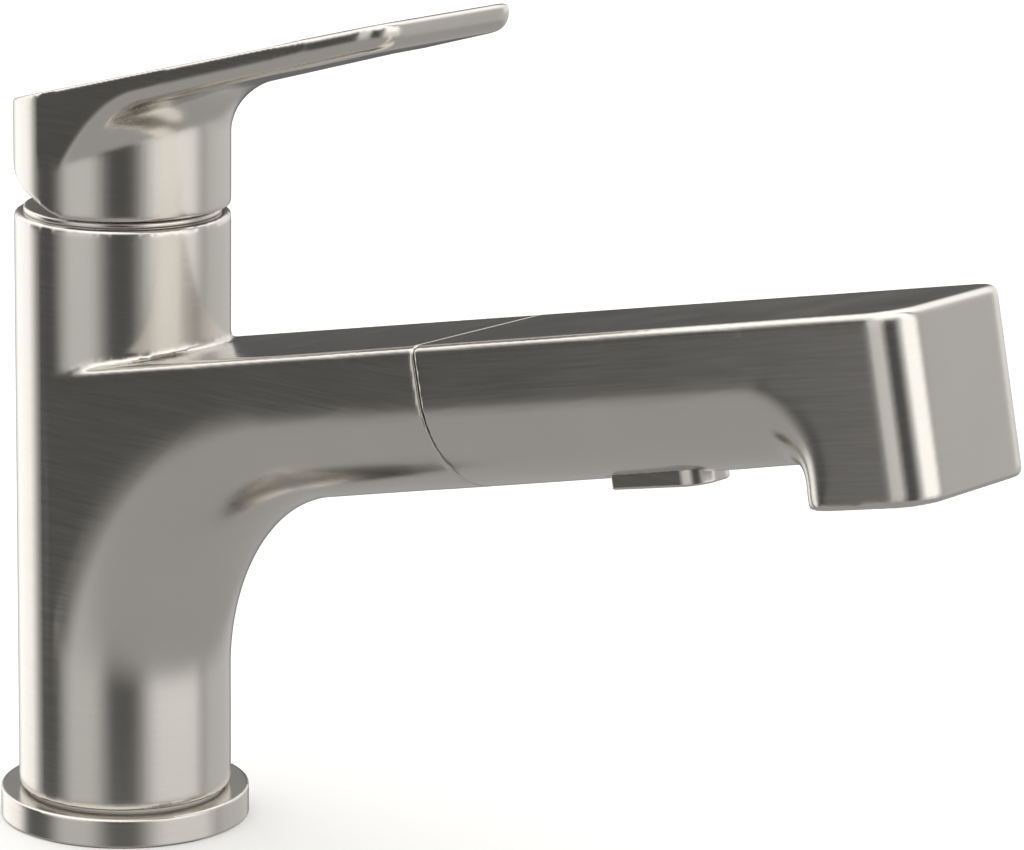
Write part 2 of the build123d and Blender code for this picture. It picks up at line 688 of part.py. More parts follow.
with BuildPart() as cartridge_housing:
    with BuildSketch(Plane.XY.offset(base_top)):
        Circle(CARTRIDGE_R)
        Circle(housing_bore_r, mode=Mode.SUBTRACT)
    extrude(amount=shelf_top - base_top)
    with BuildSketch(Plane.XY.offset(shelf_bottom)):
        Circle(CARTRIDGE_R)
        Circle(ROTOR_R + RUNNING, mode=Mode.SUBTRACT)
    extrude(amount=HOUSING_SHELF)
    with BuildSketch(Plane.XY.offset(shelf_top)):
        Circle(HOUSING_COLLAR_R)
        Circle(ROTOR_R + RUNNING, mode=Mode.SUBTRACT)
    extrude(amount=HOUSING_COLLAR_H)
    # Rib whose ends stop the rotor's tab
    stop_turn = 180 - TURN_HALF - ROTOR_TAB_HALF_TURN - STOP_SPARE_TURN
    with BuildSketch(Plane.XY.offset(shelf_bottom - ROTOR_TAB_H)):
        Circle(housing_bore_r + FINE_EDGE)
        Circle(ROTOR_FLANGE_R + LOOSE, mode=Mode.SUBTRACT)
        with BuildLine():
            far_reach = 2 * CARTRIDGE_R
            Polyline(
                (0, 0),
                (far_reach * cos(radians(stop_turn)), far_reach * sin(radians(stop_turn))),
                (-far_reach, far_reach),
                (-far_reach, -far_reach),
                (far_reach * cos(radians(stop_turn)), -far_reach * sin(radians(stop_turn))),
                (0, 0),
            )
        make_face(mode=Mode.SUBTRACT)
    extrude(amount=ROTOR_TAB_H)
keep(cartridge_housing, "cartridge_housing")

with BuildPart() as cartridge_nut:
    add(ring(NUT_RING_R, HOUSING_COLLAR_R + SEAT_GAP, shelf_top + SEAT_GAP, NUT_RING_H))
keep(cartridge_nut, "cartridge_nut")

with BuildPart() as cap_ring:
    add(ring(CAP_RING_R, ROTOR_R + LOOSE, BODY_TOP + SEAT_GAP, CAP_RING_H))
    add(ring(NUT_RING_R - SEAT_GAP, NUT_RING_R - CAP_RING_H, BODY_TOP + SEAT_GAP - CAP_SKIRT_H, CAP_SKIRT_H))
    fillet(cap_ring.edges().group_by(Axis.Z)[-1].sort_by(SortBy.RADIUS)[-1], FINE_EDGE)
keep(cap_ring, "cap_ring")

# Handle: round barrel flaring into a tapered lever
lever_rise = tan(radians(LEVER_ANGLE))
under_rise = tan(radians(LEVER_UNDER_ANGLE))
lever_under_z = LEVER_TOP_Z - LEVER_ROOT_THICK / cos(radians(LEVER_UNDER_ANGLE))


def lever_top(x):
    return LEVER_TOP_Z + lever_rise * x


def lever_under(x):
    return lever_under_z + under_rise * x


def side_band(low_rear, low_front, start, end):
    """Side view between a lower line and the lever's top face, drawn in the XZ plane."""
    with BuildSketch(Plane.XZ) as face:
        Polygon(
            (start, low_rear), (end, low_front), (end, lever_top(end)), (start, lever_top(start)), align=None
        )
    return face.sketch


band_start = -2 * BODY_R
band_end = 3 * LEVER_END_X

with BuildPart() as barrel:
    with BuildSketch(Plane.XY.offset(HANDLE_BOTTOM)):
        Circle(BODY_R)
    extrude(amount=2 * BODY_R)
    chamfer(barrel.edges().group_by(Axis.Z)[0], HANDLE_EDGE)
    extrude(
        side_band(HANDLE_BOTTOM, HANDLE_BOTTOM, -2 * BODY_R, 2 * BODY_R),
        amount=2 * BODY_R,
        both=True,
        mode=Mode.INTERSECT,
    )

with BuildPart() as lever_flare:
    with BuildSketch(Plane.XY.offset(HANDLE_BOTTOM)):
        Circle(BODY_R - TANGENT_INSET)
    extrude(amount=band_end)
    extrude(
        side_band(HANDLE_BOTTOM, HANDLE_BOTTOM, -2 * BODY_R, 2 * BODY_R),
        amount=3 * BODY_R,
        both=True,
        mode=Mode.INTERSECT,
    )
    extrude(
        side_band(lever_under(band_start), lever_under(band_end), band_start, band_end),
        amount=3 * BODY_R,
        both=True,
    )
    fillet(lever_flare.edges().filter_by(GeomType.ELLIPSE), LEVER_FILLET_R)
    with BuildSketch(Plane.XY.offset(HANDLE_BOTTOM)) as lever_plan:
        Polygon(
            (0, LEVER_ROOT_HALF),
            (0, -LEVER_ROOT_HALF),
            (LEVER_END_X, -LEVER_TIP_HALF),
            (LEVER_END_X, LEVER_TIP_HALF),
            align=None,
        )
        fillet(lever_plan.vertices().group_by(Axis.X)[-1], LEVER_CORNER_R)
    extrude(amount=LEVER_END_X, mode=Mode.INTERSECT)


def on_lower_edge(edge):
    """True for the lever's lower outline: both sides, the flare beside the barrel and the tip."""
    mid = edge @ 0.5
    on_underside = abs(mid.Z - lever_under(mid.X)) < LOOSE and mid.X > LEVER_FILLET_R
    on_flare = edge.geom_type == GeomType.BSPLINE and abs(abs(mid.Y) - LEVER_ROOT_HALF) < LOOSE
    return on_flare or on_underside and edge.geom_type != GeomType.BSPLINE


with BuildPart() as lever_handle:
    add(lever_flare.part)
    fillet(lever_handle.edges().filter_by(on_lower_edge), LEVER_LOWER_EDGE)
    add(barrel.part)
    # Rear cut that lets the lever lift
    with BuildSketch(Plane.XZ):
        cut_fall = tan(radians(LIFT_ANGLE))
        Polygon(
            ((LIFT_CUT_Z - HANDLE_BOTTOM) / cut_fall, HANDLE_BOTTOM),
            (-2 * BODY_R, LIFT_CUT_Z + 2 * BODY_R * cut_fall),
            (-2 * BODY_R, HANDLE_BOTTOM),
            align=None,
        )
    extrude(amount=2 * BODY_R, both=True, mode=Mode.SUBTRACT)
    with BuildSketch(Plane.XY.offset(HANDLE_BOTTOM)):
        Circle(HANDLE_ROOM_R)
    extrude(amount=HANDLE_ROOM_TOP - HANDLE_BOTTOM, mode=Mode.SUBTRACT)
    with BuildSketch(Plane.XY.offset(HANDLE_BOSS_BOTTOM)):
        Circle(HANDLE_BOSS_R)
    extrude(amount=HANDLE_ROOM_TOP - HANDLE_BOSS_BOTTOM)
    with BuildSketch(Plane.XY.offset(HANDLE_BOSS_BOTTOM)):
        Rectangle(STEM_X + 2 * SEAT_GAP, STEM_Y + 2 * SEAT_GAP)
    extrude(amount=STEM_TOP + SEAT_GAP - HANDLE_BOSS_BOTTOM, mode=Mode.SUBTRACT)
    screw_plane = Plane(origin=(-BODY_R, 0, SET_SCREW_Z), x_dir=(0, 1, 0), z_dir=(1, 0, 0))
    with BuildSketch(screw_plane):
        Circle(SET_SCREW_R + SEAT_GAP)
    extrude(amount=BODY_R, mode=Mode.SUBTRACT)
    with BuildSketch(screw_plane):
        Circle(PLUG_R + SEAT_GAP)
    extrude(amount=LOOSE + PLUG_H + SEAT_GAP, mode=Mode.SUBTRACT)
keep(lever_handle, "lever_handle")

with BuildPart() as handle_set_screw:
    with BuildSketch(screw_plane.offset(LOOSE + PLUG_H + 2 * SEAT_GAP)):
        Circle(SET_SCREW_R)
    extrude(amount=BODY_R - LOOSE - PLUG_H - 3 * SEAT_GAP - STEM_X / 2)
    with BuildSketch(screw_plane.offset(LOOSE + PLUG_H + 2 * SEAT_GAP)):
        RegularPolygon(SET_SCREW_R / 2, 6, major_radius=False)
    extrude(amount=SET_SCREW_R, mode=Mode.SUBTRACT)
keep(handle_set_screw, "handle_set_screw")

with BuildPart() as set_screw_plug:
    with BuildSketch(screw_plane.offset(LOOSE)):
        Circle(PLUG_R)
    extrude(amount=PLUG_H)
keep(set_screw_plug, "set_screw_plug")

# Spray head shell: arm section, square end block and the rounded drop between them
head_start = SEAM + SEAM_GAP / 2
drop_half = half(BLOCK_REAR - DROP_R) - DROP_INSET
drop_depth = SIDE_DEPTH + half(BLOCK_REAR - DROP_R) + DROP_R
drop_hinge = arm_point(BLOCK_REAR - DROP_R, drop_depth)
pocket_end = HEAD_END - SHELL_WALL
pocket_half = half(HEAD_END) - SHELL_WALL
core_flat_depth = BUTTON_PIN_DEPTH - BUTTON_PIN_ROOM


def drop_section(part_way):
    """Section of the drop on a plane swung about its hinge line, from square to parallel to the arm."""
    turn = radians(90 * part_way)
    outward = arm_dir * sin(turn) + arm_up * cos(turn)
    corner = drop_half - DROP_FLAT + (BLOCK_CORNER_R - drop_half + DROP_FLAT) * part_way
    reach = DROP_R + drop_half + DROP_R * (1 - part_way)
    if part_way == 1:
        reach = HEAD_END - BLOCK_REAR - BLOCK_CORNER_R
    with BuildSketch(Plane(origin=drop_hinge, x_dir=(0, 1, 0), z_dir=Vector(0, 1, 0).cross(outward))) as face:
        with BuildLine():
            Polyline(
                (drop_half, DROP_R + corner),
                (drop_half, reach),
                (-drop_half, reach),
                (-drop_half, DROP_R + corner),
            )
            CenterArc((-drop_half + corner, DROP_R + corner), corner, 180, 90)
            Line((-drop_half + corner, DROP_R), (drop_half - corner, DROP_R))
            CenterArc((drop_half - corner, DROP_R + corner), corner, 270, 90)
        make_face()
    return face.sketch


def pocket_outline(depth, inset=0.0):
    """Rounded outline of the pocket in the end block, on the level plane at that depth."""
    with BuildSketch(level(depth)) as face:
        with Locations(((POCKET_START + pocket_end) / 2, 0)):
            RectangleRounded(
                pocket_end - POCKET_START - 2 * inset,
                2 * (pocket_half - inset),
                BLOCK_CORNER_R - SHELL_WALL - inset,
            )
    return face.sketch


with BuildPart() as head_bar:
    with BuildSketch(arm_plane) as block_plan:
        Polygon(
            (BLOCK_REAR, -half(BLOCK_REAR)),
            (HEAD_END, -half(HEAD_END)),
            (HEAD_END, half(HEAD_END)),
            (BLOCK_REAR, half(BLOCK_REAR)),
            align=None,
        )
        fillet(block_plan.vertices(), BLOCK_CORNER_R)
    extrude(amount=-HEAD_DEPTH)
    fillet(head_bar.edges().group_by(Axis(arm_point(0, 0), arm_up))[0], HEAD_BOTTOM_EDGE)
    loft([sharp_section(head_start), sharp_section(BLOCK_REAR + BLOCK_CORNER_R + EDGE_R)], ruled=True)
    top_edges = head_bar.faces().sort_by(Axis(arm_point(0, 0), arm_up))[-1].edges()
    fillet(top_edges.sort_by(Axis(arm_point(0, 0), arm_dir))[1:], EDGE_R)
    chamfer(head_bar.faces().sort_by(Axis(arm_point(0, 0), arm_dir))[0].edges(), SEAM_EDGE)

head_drop = loft([drop_section(i / (DROP_SECTIONS - 1)) for i in range(DROP_SECTIONS)])
head_outside = head_bar.part + head_drop

with BuildPart() as head_shell:
    add(head_outside)
    # Hollow for the waterway
    loft(
        [arm_section(head_start - CUT_PAST, inset=SHELL_WALL), arm_section(BLOCK_REAR, inset=SHELL_WALL)],
        ruled=True,
        mode=Mode.SUBTRACT,
    )
    extrude(pocket_outline(POCKET_DEPTH), amount=-HEAD_DEPTH, mode=Mode.SUBTRACT)
    with BuildSketch(station(BLOCK_REAR - CUT_PAST)):
        with Locations((0, -CORE_DEPTH)):
            Circle(CORE_R + LOOSE)
    extrude(amount=POCKET_START + CORE_OVERLAP - BLOCK_REAR, mode=Mode.SUBTRACT)
    # Opening for the spray button
    with BuildSketch(level(SIDE_DEPTH + BODY_R / 2)):
        with Locations(((BUTTON_START + BUTTON_END) / 2, 0)):
            Rectangle(BUTTON_END - BUTTON_START + 2 * BUTTON_END_GAP, 2 * (BUTTON_HALF_W + LOOSE))
    extrude(amount=-BODY_R, mode=Mode.SUBTRACT)
    # Pockets that hold the button's hinge pin, open towards the inside
    with BuildSketch(Plane(origin=arm_point(0, 0), x_dir=arm_dir, z_dir=(0, -1, 0))):
        with Locations((BUTTON_PIN_AT, -BUTTON_PIN_DEPTH)):
            Circle(BUTTON_PIN_R + SEAT_GAP)
        with Locations((BUTTON_PIN_AT, -(BUTTON_PIN_DEPTH + core_flat_depth) / 2)):
            Rectangle(2 * (BUTTON_PIN_R + SEAT_GAP), BUTTON_PIN_ROOM)
    extrude(amount=BUTTON_PIN_HALF + SEAT_GAP, both=True, mode=Mode.SUBTRACT)
    # Bosses for the collar screws
    for side in (1, -1):
        with BuildSketch(station(head_start + COLLAR_PLATE_H + LOOSE)):
            with Locations((side * COLLAR_SCREW_Y, -COLLAR_SCREW_DEPTH)):
                Circle(COLLAR_BOSS_R)
                Circle(COLLAR_SCREW_R + SEAT_GAP, mode=Mode.SUBTRACT)
        extrude(amount=COLLAR_BOSS_LENGTH)
keep(head_shell, "head_shell")

# Docking sleeve in the arm's mouth
sleeve_end = mouth - SLEEVE_RECESS
sleeve_start = sleeve_end - SLEEVE_LENGTH
tail_start = head_start - TAIL_LENGTH
collar_start = head_start + LOOSE
collar_end = collar_start + COLLAR_PLATE_H
washer_start = tail_start + CONNECTOR_SOCKET
valve_start = washer_start + WASHER_T
face_top = HEAD_DEPTH - FACE_RECESS - FACE_H
face_floor_top = HEAD_DEPTH - FACE_RECESS - FACE_FLOOR
side_plane = Plane(origin=arm_point(0, 0), x_dir=arm_dir, z_dir=(0, -1, 0))


def dock_outline(along, inset=0.0):
    """Rounded rectangle of the dock on the section plane there."""
    with BuildSketch(station(along)) as face:
        with Locations((0, -CORE_DEPTH)):
            RectangleRounded(2 * (DOCK_HALF_W - inset), 2 * (DOCK_HALF_H - inset), DOCK_CORNER_R - inset)
    return face.sketch


def round_bar(along, radius, across=0.0, depth=CORE_DEPTH):
    """Circle on the section plane there, on the waterway's centre unless placed elsewhere."""
    with BuildSketch(station(along)) as face:
        with Locations((across, -depth)):
            Circle(radius)
    return face.sketch


def upright_bar(depth, along, radius, across=0.0):
    """Circle on the level plane there."""
    with BuildSketch(level(depth)) as face:
        with Locations((along, across)):
            Circle(radius)
    return face.sketch


with BuildPart() as dock_sleeve:
    loft(
        [
            arm_section(sleeve_start, inset=ARM_WALL + SEAT_GAP),
            arm_section(sleeve_end, inset=ARM_WALL + SEAT_GAP),
        ],
        ruled=True,
    )
    extrude(dock_outline(sleeve_start), amount=SLEEVE_LENGTH, mode=Mode.SUBTRACT)
    chamfer(
        dock_sleeve.faces().sort_by(Axis(arm_point(0, 0), arm_dir))[-1].inner_wires()[0].edges(), FINE_EDGE
    )
keep(dock_sleeve, "dock_sleeve")

with BuildPart() as head_waterway:
    extrude(dock_outline(tail_start, inset=DOCK_FIT), amount=collar_start - tail_start)
    loft(
        [
            arm_section(collar_start, inset=SHELL_WALL + SEAT_GAP),
            arm_section(collar_end, inset=SHELL_WALL + SEAT_GAP),
        ],
        ruled=True,
    )
    extrude(round_bar(collar_start, CORE_R), amount=POCKET_START + CORE_OVERLAP - collar_start)
    extrude(pocket_outline(OUTLET_BOX_TOP, inset=LOOSE), amount=OUTLET_BOX_TOP + SEAT_GAP - face_top)
    # Groove for the dock ring
    extrude(
        dock_outline(head_start - DOCK_RING_AT, inset=-DOCK_FIT)
        - dock_outline(head_start - DOCK_RING_AT, inset=DOCK_FIT + DOCK_RING_W / 2),
        amount=DOCK_RING_W,
        mode=Mode.SUBTRACT,
    )
    # Flat above the button and the bore for its plunger
    with BuildSketch(side_plane):
        with Locations(((BUTTON_START + BUTTON_END) / 2, -core_flat_depth - CORE_R / 2)):
            Rectangle(BUTTON_END - BUTTON_START + 2 * PASSAGE_R, CORE_R)
    extrude(amount=CORE_R, both=True, mode=Mode.SUBTRACT)
    extrude(upright_bar(CORE_DEPTH, PLUNGER_AT, PLUNGER_R + RUNNING), amount=-CORE_R, mode=Mode.SUBTRACT)
    # Water passage from the hose connector to the outlet
    connector_hole = round_bar(tail_start, CONNECTOR_R + SEAT_GAP)
    extrude(connector_hole, amount=valve_start - tail_start, mode=Mode.SUBTRACT)
    extrude(round_bar(valve_start, CHECK_VALVE_R + SEAT_GAP), amount=CHECK_VALVE_LENGTH, mode=Mode.SUBTRACT)
    extrude(round_bar(valve_start, PASSAGE_R), amount=OUTLET_AT + PASSAGE_R - valve_start, mode=Mode.SUBTRACT)
    extrude(upright_bar(CORE_DEPTH, OUTLET_AT, PASSAGE_R), amount=-CORE_DEPTH, mode=Mode.SUBTRACT)
    # Branches to the spray nozzles on both sides
    with BuildSketch(side_plane):
        with Locations((OUTLET_AT, -CORE_DEPTH)):
            Circle(SPRAY_BORE_R)
    extrude(amount=SPRAY_BORE_Y, both=True, mode=Mode.SUBTRACT)
    for side in (1, -1):
        extrude(
            upright_bar(CORE_DEPTH, OUTLET_AT, SPRAY_BORE_R, side * SPRAY_BORE_Y),
            amount=-CORE_DEPTH,
            mode=Mode.SUBTRACT,
        )
        # Collar screw hole with its counterbore
        across = side * COLLAR_SCREW_Y
        extrude(
            round_bar(collar_start, COLLAR_SCREW_R + SEAT_GAP, across, COLLAR_SCREW_DEPTH),
            amount=COLLAR_PLATE_H,
            mode=Mode.SUBTRACT,
        )
        extrude(
            round_bar(collar_start, COLLAR_SCREW_HEAD_R + SEAT_GAP, across, COLLAR_SCREW_DEPTH),
            amount=COLLAR_SCREW_HEAD_H,
            mode=Mode.SUBTRACT,
        )
keep(head_waterway, "head_waterway")

with BuildPart() as dock_o_ring:
    ring_at = head_start - DOCK_RING_AT + SEAT_GAP
    ring_inside = dock_outline(ring_at, inset=DOCK_FIT + DOCK_RING_W / 2 - SEAT_GAP)
    extrude(dock_outline(ring_at, inset=SEAT_GAP) - ring_inside, amount=DOCK_RING_W - 2 * SEAT_GAP)
keep(dock_o_ring, "dock_o_ring")

with BuildPart() as waterway_screws:
    for side in (1, -1):
        across = side * COLLAR_SCREW_Y
        extrude(
            round_bar(collar_start, COLLAR_SCREW_R, across, COLLAR_SCREW_DEPTH), amount=COLLAR_SCREW_LENGTH
        )
        extrude(
            round_bar(collar_start, COLLAR_SCREW_HEAD_R, across, COLLAR_SCREW_DEPTH),
            amount=COLLAR_SCREW_HEAD_H - SEAT_GAP,
        )
        with BuildSketch(station(collar_start)):
            with Locations((across, -COLLAR_SCREW_DEPTH)):
                RegularPolygon(COLLAR_SCREW_SOCKET_R, 6)
        extrude(amount=COLLAR_SCREW_HEAD_H / 2, mode=Mode.SUBTRACT)
keep(waterway_screws, "waterway_screws")

with BuildPart() as hose_connector:
    extrude(round_bar(CONNECTOR_START, CONNECTOR_R), amount=washer_start - CONNECTOR_START)
    with BuildSketch(station(tail_start - LOOSE)):
        with Locations((0, -CORE_DEPTH)):
            RegularPolygon(CONNECTOR_HEX_R, 6)
    extrude(amount=-CONNECTOR_HEX_H)
    connector_bore = round_bar(CONNECTOR_START, CONNECTOR_BORE_R)
    extrude(connector_bore, amount=washer_start - CONNECTOR_START, mode=Mode.SUBTRACT)
keep(hose_connector, "hose_connector")

with BuildPart() as connector_washer:
    extrude(round_bar(washer_start + SEAT_GAP, CONNECTOR_R - SEAT_GAP), amount=WASHER_T - 2 * SEAT_GAP)
    extrude(round_bar(washer_start, CONNECTOR_BORE_R), amount=WASHER_T, mode=Mode.SUBTRACT)
keep(connector_washer, "connector_washer")

with BuildPart() as check_valve:
    extrude(round_bar(valve_start + SEAT_GAP, CHECK_VALVE_R), amount=CHECK_VALVE_LENGTH - 2 * SEAT_GAP)
    extrude(round_bar(valve_start, PASSAGE_R), amount=CHECK_VALVE_LENGTH, mode=Mode.SUBTRACT)
    extrude(round_bar(valve_start + PASSAGE_R, PASSAGE_R + SEAT_GAP), amount=PASSAGE_R / 2)
    with BuildSketch(station(valve_start + PASSAGE_R)):
        with Locations((0, -CORE_DEPTH)):
            with PolarLocations(PASSAGE_R / 2, 4):
                Circle(PASSAGE_R / 4)
    extrude(amount=PASSAGE_R / 2, mode=Mode.SUBTRACT)
keep(check_valve, "check_valve")

# Spray button, its pin and its plunger
with BuildPart() as spray_toggle:
    with BuildSketch(level(BUTTON_INNER_DEPTH)) as button_plan:
        with Locations(((BUTTON_START + BUTTON_END) / 2, 0)):
            Rectangle(BUTTON_END - BUTTON_START, 2 * BUTTON_HALF_W)
        button_corners = button_plan.vertices().sort_by(Axis((0, 0, 0), arm_dir))
        fillet(button_corners[2:], BUTTON_FRONT_R)
        fillet(button_plan.vertices().sort_by(Axis((0, 0, 0), arm_dir))[:2], BUTTON_REAR_R)
    extrude(amount=BUTTON_INNER_DEPTH - BUTTON_FACE_DEPTH)
    fillet(spray_toggle.edges().group_by(Axis((0, 0, 0), arm_up))[0], FINE_EDGE)
    with BuildSketch(side_plane):
        with Locations((BUTTON_PIN_AT, -BUTTON_PIN_DEPTH)):
            Circle(2 * BUTTON_PIN_R)
        with Locations((BUTTON_PIN_AT, -(BUTTON_PIN_DEPTH + BUTTON_INNER_DEPTH) / 2)):
            Rectangle(4 * BUTTON_PIN_R, BUTTON_INNER_DEPTH - BUTTON_PIN_DEPTH)
    extrude(amount=BUTTON_HALF_W, both=True)
    with BuildSketch(side_plane):
        with Locations((BUTTON_PIN_AT, -BUTTON_PIN_DEPTH)):
            Circle(BUTTON_PIN_R + RUNNING)
    extrude(amount=BUTTON_HALF_W, both=True, mode=Mode.SUBTRACT)
keep(spray_toggle, "spray_toggle")

with BuildPart() as toggle_pin:
    with BuildSketch(side_plane):
        with Locations((BUTTON_PIN_AT, -BUTTON_PIN_DEPTH)):
            Circle(BUTTON_PIN_R)
    extrude(amount=BUTTON_PIN_HALF, both=True)
keep(toggle_pin, "toggle_pin")

with BuildPart() as diverter_plunger:
    plunger_length = BUTTON_INNER_DEPTH - SEAT_GAP - PLUNGER_TOP_DEPTH
    extrude(upright_bar(PLUNGER_TOP_DEPTH, PLUNGER_AT, PLUNGER_R), amount=-plunger_length)
    chamfer(diverter_plunger.edges().group_by(Axis((0, 0, 0), arm_up))[0], LOOSE)
    extrude(
        upright_bar(PLUNGER_RING_DEPTH, PLUNGER_AT, PLUNGER_R)
        - upright_bar(PLUNGER_RING_DEPTH, PLUNGER_AT, PLUNGER_R - PLUNGER_GROOVE),
        amount=-PLUNGER_RING_H,
        mode=Mode.SUBTRACT,
    )
keep(diverter_plunger, "diverter_plunger")

with BuildPart() as plunger_o_ring:
    extrude(
        upright_bar(PLUNGER_RING_DEPTH + SEAT_GAP, PLUNGER_AT, PLUNGER_R)
        - upright_bar(PLUNGER_RING_DEPTH + SEAT_GAP, PLUNGER_AT, PLUNGER_R - PLUNGER_GROOVE + SEAT_GAP),
        amount=2 * SEAT_GAP - PLUNGER_RING_H,
    )
keep(plunger_o_ring, "plunger_o_ring")

# Outlet: spray face with its nozzles, aerator in the middle
nozzle_spots = [
    (OUTLET_AT + row * NOZZLE_STEP_ALONG, side * y)
    for row in (-1, 0, 1)
    for side in (1, -1)
    for y in NOZZLE_ROWS_Y
]
face_inset = 2 * SEAT_GAP

with BuildPart() as spray_face:
    extrude(pocket_outline(face_top, inset=face_inset), amount=-FACE_H)
    extrude(
        pocket_outline(face_top, inset=face_inset + FACE_WALL), amount=FACE_FLOOR - FACE_H, mode=Mode.SUBTRACT
    )
    with BuildSketch(level(face_floor_top)):
        with Locations((OUTLET_AT, 0)):
            Circle(AERATOR_R + SEAT_GAP)
        with Locations(*nozzle_spots):
            Circle(NOZZLE_HOLE_R)
    extrude(amount=-FACE_FLOOR, mode=Mode.SUBTRACT)
keep(spray_face, "spray_face")

with BuildPart() as spray_nozzles:
    mat_top = face_floor_top - SEAT_GAP - MAT_H
    extrude(pocket_outline(mat_top, inset=face_inset + FACE_WALL + 2 * SEAT_GAP), amount=-MAT_H)
    extrude(upright_bar(mat_top, OUTLET_AT, MAT_HOLE_R), amount=-MAT_H, mode=Mode.SUBTRACT)
    with BuildSketch(level(mat_top + MAT_H)):
        with Locations(*nozzle_spots):
            Circle(NOZZLE_R)
    extrude(amount=-(FACE_FLOOR + SEAT_GAP - NOZZLE_RECESS))
    with BuildSketch(level(mat_top)):
        with Locations(*nozzle_spots):
            Circle(NOZZLE_BORE_R)
    extrude(amount=-(MAT_H + FACE_FLOOR + SEAT_GAP), mode=Mode.SUBTRACT)
keep(spray_nozzles, "spray_nozzles")

aerator_top = face_top + AERATOR_SEAL_H
aerator_bottom = HEAD_DEPTH - FACE_RECESS - NOZZLE_RECESS
screen_bottom = aerator_bottom - SCREEN_RECESS

with BuildPart() as aerator_seal:
    extrude(upright_bar(face_top, OUTLET_AT, AERATOR_R), amount=SEAT_GAP - AERATOR_SEAL_H)
    extrude(upright_bar(face_top, OUTLET_AT, AERATOR_BORE_R), amount=-AERATOR_SEAL_H, mode=Mode.SUBTRACT)
keep(aerator_seal, "aerator_seal")

with BuildPart() as aerator_housing:
    extrude(upright_bar(aerator_top, OUTLET_AT, AERATOR_R), amount=aerator_top - aerator_bottom)
    extrude(upright_bar(aerator_top, OUTLET_AT, AERATOR_BORE_R), amount=-AERATOR_WALL, mode=Mode.SUBTRACT)
    extrude(
        upright_bar(aerator_top + AERATOR_WALL, OUTLET_AT, AERATOR_R - AERATOR_WALL),
        amount=-HEAD_DEPTH,
        mode=Mode.SUBTRACT,
    )
keep(aerator_housing, "aerator_housing")

screen_reach = AERATOR_R - AERATOR_WALL - SCREEN_PITCH / 2
screen_steps = [step * SCREEN_PITCH for step in (-2, -1, 0, 1, 2)]
screen_spots = [
    (OUTLET_AT + x, y) for x in screen_steps for y in screen_steps if x * x + y * y < screen_reach**2
]

with BuildPart() as aerator_screen:
    screen_r = AERATOR_R - AERATOR_WALL - SEAT_GAP
    extrude(upright_bar(screen_bottom - SCREEN_H, OUTLET_AT, screen_r), amount=-SCREEN_H)
    with BuildSketch(level(screen_bottom - SCREEN_H)):
        with Locations(*screen_spots):
            Rectangle(SCREEN_HOLE, SCREEN_HOLE)
    extrude(amount=-SCREEN_H, mode=Mode.SUBTRACT)
keep(aerator_screen, "aerator_screen")
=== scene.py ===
import json
import math

import bpy
import numpy as np
from mathutils import Matrix, Vector


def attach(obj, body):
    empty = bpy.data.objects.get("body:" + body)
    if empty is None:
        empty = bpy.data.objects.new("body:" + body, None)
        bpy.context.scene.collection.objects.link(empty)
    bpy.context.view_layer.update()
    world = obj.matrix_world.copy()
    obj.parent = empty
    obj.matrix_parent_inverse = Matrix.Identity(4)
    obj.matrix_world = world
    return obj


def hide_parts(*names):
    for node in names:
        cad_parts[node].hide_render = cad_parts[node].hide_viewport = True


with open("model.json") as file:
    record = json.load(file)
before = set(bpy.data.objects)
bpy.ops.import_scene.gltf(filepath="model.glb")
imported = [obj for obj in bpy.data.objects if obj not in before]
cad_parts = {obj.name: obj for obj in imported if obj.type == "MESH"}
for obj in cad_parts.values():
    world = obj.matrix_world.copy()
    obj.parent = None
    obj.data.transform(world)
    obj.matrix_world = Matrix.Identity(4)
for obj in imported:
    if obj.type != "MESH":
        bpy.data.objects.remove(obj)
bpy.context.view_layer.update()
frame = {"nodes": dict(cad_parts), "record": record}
NODES = frame["nodes"]


# Lengths are in metres and angles in radians, unless a name or a comment says otherwise

# Camera: it stands in front of the spout, on its tip side, and a little above it
PHOTO_WIDTH = 1024
PHOTO_FOCAL_PX = 4943.1
SENSOR_WIDTH_MM = 36.0
CAMERA_AZIMUTH = math.radians(39.245)
CAMERA_ELEVATION = math.radians(13.623)
CAMERA_ROLL = math.radians(0.839)
CAMERA_DISTANCE = 1.056963
CAMERA_SIDE_STEP = 0.082655
CAMERA_RISE = 0.082265
NEAREST_SEEN = 0.05
FARTHEST_SEEN = 50.0


def make_camera():
    back = Vector((
        math.cos(CAMERA_ELEVATION) * math.sin(CAMERA_AZIMUTH),
        -math.cos(CAMERA_ELEVATION) * math.cos(CAMERA_AZIMUTH),
        math.sin(CAMERA_ELEVATION),
    ))
    level = Vector((math.cos(CAMERA_AZIMUTH), math.sin(CAMERA_AZIMUTH), 0.0))
    upright = back.cross(level)
    right = math.cos(CAMERA_ROLL) * level + math.sin(CAMERA_ROLL) * upright
    up = math.cos(CAMERA_ROLL) * upright - math.sin(CAMERA_ROLL) * level
    lens = bpy.data.cameras.new("photo_camera")
    lens.sensor_width = SENSOR_WIDTH_MM
    lens.lens = PHOTO_FOCAL_PX / PHOTO_WIDTH * SENSOR_WIDTH_MM
    lens.clip_start = NEAREST_SEEN
    lens.clip_end = FARTHEST_SEEN
    camera = bpy.data.objects.new("photo_camera", lens)
    bpy.context.scene.collection.objects.link(camera)
    place = back * CAMERA_DISTANCE + right * CAMERA_SIDE_STEP + up * CAMERA_RISE
    turn = Matrix((right, up, back)).transposed().to_4x4()
    camera.matrix_world = Matrix.Translation(place) @ turn
    bpy.context.scene.camera = camera


make_camera()


# Shader helpers
NOISE_DETAIL = 3.0
NOISE_LOW = 0.3
NOISE_HIGH = 0.7
EDGE_SAMPLES = 8


